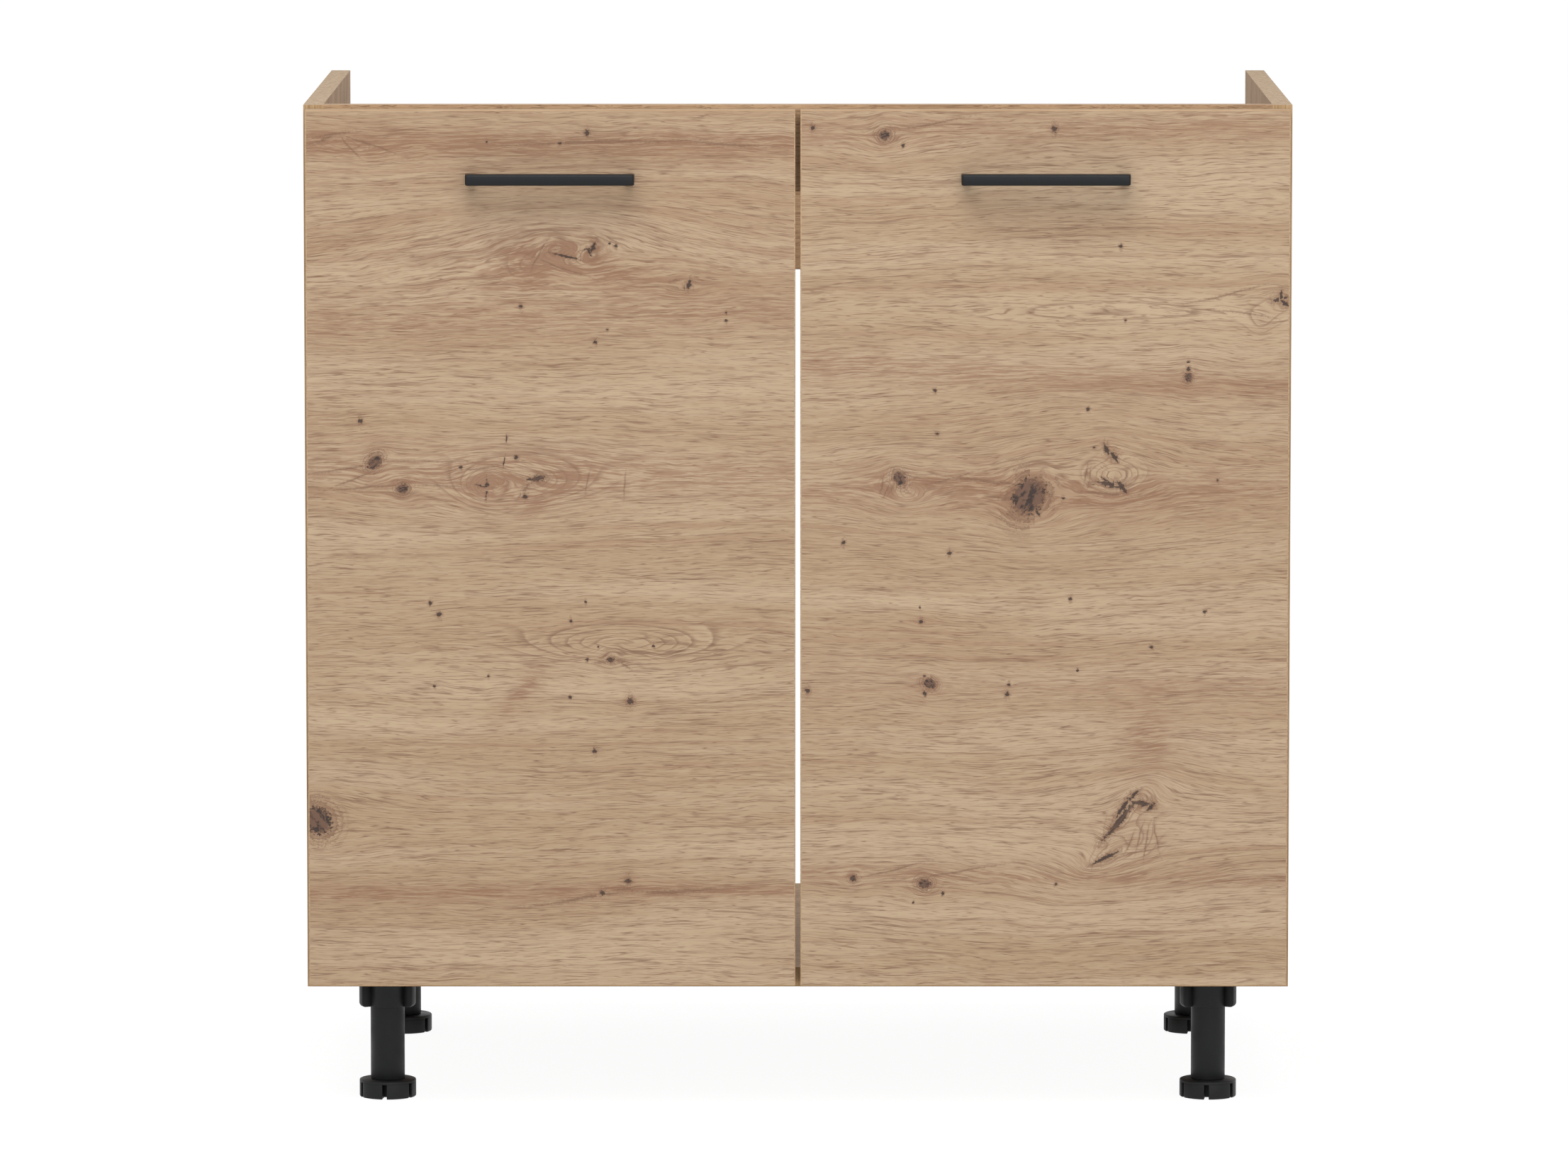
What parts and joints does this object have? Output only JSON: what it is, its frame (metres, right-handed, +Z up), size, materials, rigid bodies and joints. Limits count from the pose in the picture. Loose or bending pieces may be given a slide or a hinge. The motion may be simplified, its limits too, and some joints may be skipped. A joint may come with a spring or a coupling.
{
  "type": "sink base cabinet",
  "caption": "Kitchen sink base cabinet with an open top and back, hinged overlay doors with bow handles, and screw-in adjusting feet under it.",
  "frame": {"origin": "on the floor under the middle of the whole unit, handles included", "axes": "+X to the right seen from the front, +Y towards the wall, +Z up; the doors face -Y"},
  "size_m": [0.8, 0.546, 0.82],
  "materials": {
    "oak_board": "oak-decor melamine on chipboard, satin",
    "door_board": "knotty oak-decor melamine with the grain across the door, satin",
    "edge_band": "thin printed edge band, matte",
    "black_plastic": "moulded black plastic, matte",
    "black_handle": "powder-coated black, matte",
    "hinge_steel": "nickel-plated pressed steel"
  },
  "bodies": {
    "carcass": {"side_panel_left": "oak_board", "side_panel_right": "oak_board", "bottom_panel": "oak_board", "front_rail": "oak_board", "rear_rail": "oak_board", "carcass_edging": "edge_band", "leg_posts": "black_plastic", "hinge_arms_left": "hinge_steel", "hinge_arms_right": "hinge_steel", "hinge_plates_left": "hinge_steel", "hinge_plates_right": "hinge_steel"},
    "left_main_links": {"hinge_main_links_left": "hinge_steel"},
    "left_door": {"door_left": "door_board", "door_edging_left": "edge_band", "handle_left": "black_handle", "hinge_cups_left": "hinge_steel"},
    "left_side_links": {"hinge_side_links_left": "hinge_steel"},
    "right_main_links": {"hinge_main_links_right": "hinge_steel"},
    "right_door": {"door_right": "door_board", "door_edging_right": "edge_band", "handle_right": "black_handle", "hinge_cups_right": "hinge_steel"},
    "right_side_links": {"hinge_side_links_right": "hinge_steel"},
    "foot_front_left": {"leg_foot_front_left": "black_plastic"},
    "foot_front_right": {"leg_foot_front_right": "black_plastic"},
    "foot_rear_left": {"leg_foot_rear_left": "black_plastic"},
    "foot_rear_right": {"leg_foot_rear_right": "black_plastic"}
  },
  "joints": [
    {"name": "left_door_turn", "type": "hinge", "parent": "left_main_links", "child": "left_door", "pos_m": [-0.38668, -0.23277, 0.46], "axis": [0, 0, -1], "range_deg": [0, 144.51]},
    {"name": "left_main_link_turn", "type": "hinge", "parent": "carcass", "child": "left_main_links", "pos_m": [-0.36984, -0.22226, 0.46], "axis": [0, 0, 1], "range_deg": [0, 46.52]},
    {"name": "left_side_link_turn", "type": "hinge", "parent": "left_door", "child": "left_side_links", "pos_m": [-0.38153, -0.23555, 0.46], "axis": [0, 0, 1], "range_deg": [0, 138.52]},
    {"name": "right_door_turn", "type": "hinge", "parent": "right_main_links", "child": "right_door", "pos_m": [0.38668, -0.23277, 0.46], "axis": [0, 0, 1], "range_deg": [0, 144.51]},
    {"name": "right_main_link_turn", "type": "hinge", "parent": "carcass", "child": "right_main_links", "pos_m": [0.36984, -0.22226, 0.46], "axis": [0, 0, -1], "range_deg": [0, 46.52]},
    {"name": "right_side_link_turn", "type": "hinge", "parent": "right_door", "child": "right_side_links", "pos_m": [0.38153, -0.23555, 0.46], "axis": [0, 0, -1], "range_deg": [0, 138.52]},
    {"name": "foot_front_left_screw", "type": "slide", "parent": "carcass", "child": "foot_front_left", "axis": [0, 0, -1], "range_m": [0, 0.02]},
    {"name": "foot_front_right_screw", "type": "slide", "parent": "carcass", "child": "foot_front_right", "axis": [0, 0, -1], "range_m": [0, 0.02]},
    {"name": "foot_rear_left_screw", "type": "slide", "parent": "carcass", "child": "foot_rear_left", "axis": [0, 0, -1], "range_m": [0, 0.02]},
    {"name": "foot_rear_right_screw", "type": "slide", "parent": "carcass", "child": "foot_rear_right", "axis": [0, 0, -1], "range_m": [0, 0.02]}
  ],
  "couplings": [
    {"joint": "left_main_link_turn", "follows": "left_door_turn", "ratio": 0.32187},
    {"joint": "left_side_link_turn", "follows": "left_door_turn", "ratio": 0.95849},
    {"joint": "right_main_link_turn", "follows": "right_door_turn", "ratio": 0.32187},
    {"joint": "right_side_link_turn", "follows": "right_door_turn", "ratio": 0.95849}
  ]
}
